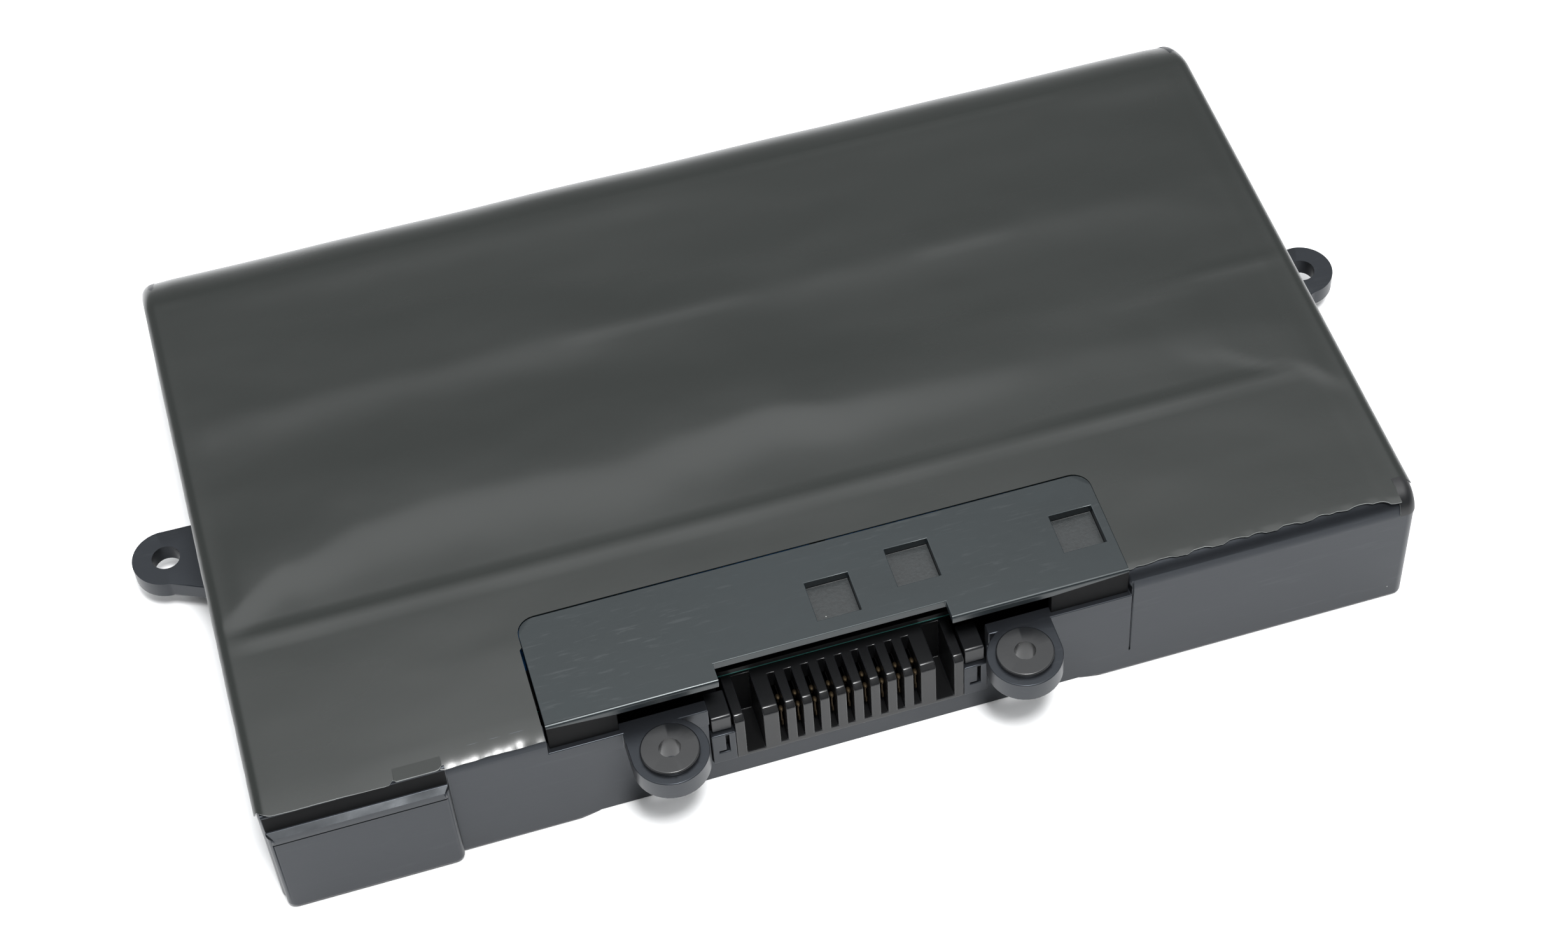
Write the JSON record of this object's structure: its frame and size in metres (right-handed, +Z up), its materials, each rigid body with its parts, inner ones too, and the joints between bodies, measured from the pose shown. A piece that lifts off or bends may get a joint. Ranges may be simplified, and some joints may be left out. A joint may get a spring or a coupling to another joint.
{
  "type": "laptop battery pack",
  "caption": "Flat rectangular battery pack: cells in a plastic tray under dark film, slotted front connector, screw ears on three sides.",
  "frame": {"origin": "centre of the tray's bottom face (142 x 88.5 mm body, ears not counted)", "axes": "+X along the long side, towards the right when looking at the connector; -Y out of the connector; +Z up, from the tray's floor to the film"},
  "size_m": [0.1612, 0.0971, 0.02],
  "materials": {
    "tray_plastic": "dark grey moulded plastic, fine mould texture, satin sheen on the corner block",
    "film": "dark grey-green insulating film, matte, with soft bands over the rows of cells",
    "cover_plastic": "satin blue-black plastic with fine scratches; rough pocket floors",
    "connector_plastic": "black moulded plastic, slightly polished rib edges",
    "clip_plastic": "black moulded plastic",
    "bush_plastic": "black plastic with a rounded rim",
    "contact_gold": "gold-plated spring contacts",
    "board_green": "green glass-fibre board with solder mask",
    "cell_sleeve": "blue shrink sleeve over a steel can",
    "cell_metal": "nickel-plated steel cap",
    "nickel_strip": "spot-welded nickel strip",
    "insulation_sheet": "grey-green pressed insulating paper",
    "foam": "black closed-cell foam",
    "component_black": "moulded component body",
    "component_metal": "metal component body with solder ends",
    "capacitor_body": "tan chip capacitor body"
  },
  "bodies": {
    "root": {"tray": "tray_plastic", "film_wrap": "film", "connector_cover": "cover_plastic", "connector_housing": "connector_plastic", "connector_clip_left": "clip_plastic", "connector_clip_right": "clip_plastic", "ear_bush_left": "bush_plastic", "ear_bush_right": "bush_plastic", "circuit_board": "board_green", "side_ear_left": "tray_plastic", "side_ear_right": "tray_plastic", "link_left_front": "nickel_strip", "link_left_rear": "nickel_strip", "link_right_front": "nickel_strip", "link_right_rear": "nickel_strip", "link_centre": "nickel_strip", "lead_negative": "nickel_strip", "lead_positive": "nickel_strip", "end_insulator_left": "insulation_sheet", "end_insulator_right": "insulation_sheet", "centre_insulator": "insulation_sheet", "foam_pad_left": "foam", "foam_pad_right": "foam", "thermistor": "component_black", "thermal_fuse": "component_metal", "gauge_chip": "component_black", "protector_chip": "component_black", "mosfet_charge": "component_black", "mosfet_discharge": "component_black", "current_shunt": "component_metal", "chemical_fuse": "component_black", "capacitors": "capacitor_body", "contact_1": "contact_gold", "contact_2": "contact_gold", "contact_3": "contact_gold", "contact_4": "contact_gold", "contact_5": "contact_gold", "contact_6": "contact_gold", "contact_7": "contact_gold", "contact_8": "contact_gold", "contact_9": "contact_gold", "cell_1": "cell_sleeve", "cell_cap_1": "cell_metal", "cell_2": "cell_sleeve", "cell_cap_2": "cell_metal", "cell_3": "cell_sleeve", "cell_cap_3": "cell_metal", "cell_4": "cell_sleeve", "cell_cap_4": "cell_metal", "cell_5": "cell_sleeve", "cell_cap_5": "cell_metal", "cell_6": "cell_sleeve", "cell_cap_6": "cell_metal", "cell_7": "cell_sleeve", "cell_cap_7": "cell_metal", "cell_8": "cell_sleeve", "cell_cap_8": "cell_metal"}
  },
  "joints": []
}
